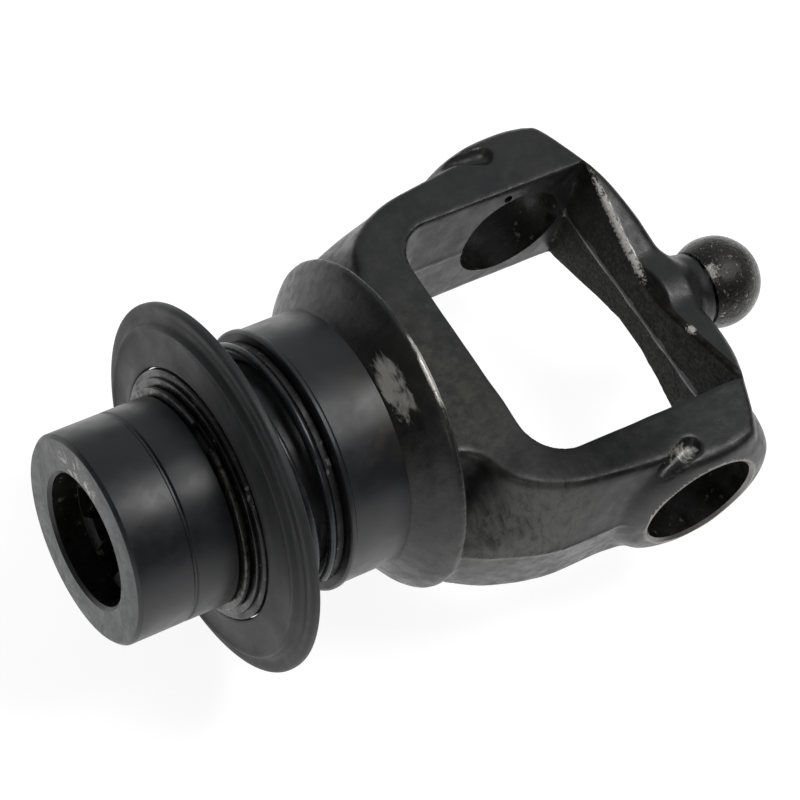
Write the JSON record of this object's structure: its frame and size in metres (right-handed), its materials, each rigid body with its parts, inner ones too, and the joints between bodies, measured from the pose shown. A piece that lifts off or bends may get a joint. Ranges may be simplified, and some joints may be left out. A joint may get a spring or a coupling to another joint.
{
  "type": "wide-angle drive shaft yoke with slide collar",
  "caption": "Black forged driveshaft yoke with a splined hub, spring-loaded quick-release slide collar, closed frame with bored ears, and a centring ball.",
  "frame": {"origin": "centre of the overall box, on the shaft axis", "axes": "+X along the shaft axis from the hub's nose to the centring ball, +Y through the two ear bores, +Z square to the frame's open window"},
  "size_m": [0.2056, 0.113, 0.0982],
  "materials": {
    "forging": "semi-gloss black paint over forged and turned steel, worn on the edges",
    "ball": "glossy hardened steel under dark oil",
    "flange": "satin black paint on stamped sheet",
    "sleeve": "blackened turned steel with grease",
    "spring": "dark spring steel, lightly oiled",
    "rings": "dark greasy steel",
    "lock_balls": "polished hardened steel"
  },
  "bodies": {
    "yoke": {"yoke_forging": "forging", "centring_ball": "ball", "backup_washer": "rings", "retaining_clip": "spring"},
    "spring_set": {"spring_seat": "rings", "collar_spring": "spring"},
    "collar": {"collar_sleeve": "sleeve", "collar_flange": "flange"},
    "ball_1": {"lock_ball_1": "lock_balls"},
    "ball_2": {"lock_ball_2": "lock_balls"},
    "ball_3": {"lock_ball_3": "lock_balls"}
  },
  "joints": [
    {"name": "collar_turn", "type": "hinge", "parent": "yoke", "child": "spring_set", "pos_m": [-0.04875, 0, 0], "axis": [1, 0, 0], "continuous": true},
    {"name": "collar_slide", "type": "slide", "parent": "spring_set", "child": "collar", "axis": [1, 0, 0], "range_m": [0, 0.008], "stiffness_N_per_m": 4000, "springref_m": -0.006, "deforming": ["collar_spring"]},
    {"name": "lock_ball_1_slide", "type": "slide", "parent": "yoke", "child": "ball_1", "axis": [0, 0.5, 0.866], "range_m": [0, 0.0024]},
    {"name": "lock_ball_2_slide", "type": "slide", "parent": "yoke", "child": "ball_2", "axis": [0, -1, 0], "range_m": [0, 0.0024]},
    {"name": "lock_ball_3_slide", "type": "slide", "parent": "yoke", "child": "ball_3", "axis": [0, 0.5, -0.866], "range_m": [0, 0.0024]}
  ],
  "couplings": [
    {"joint": "lock_ball_1_slide", "follows": "collar_slide", "ratio": 0.3},
    {"joint": "lock_ball_2_slide", "follows": "collar_slide", "ratio": 0.3},
    {"joint": "lock_ball_3_slide", "follows": "collar_slide", "ratio": 0.3}
  ]
}
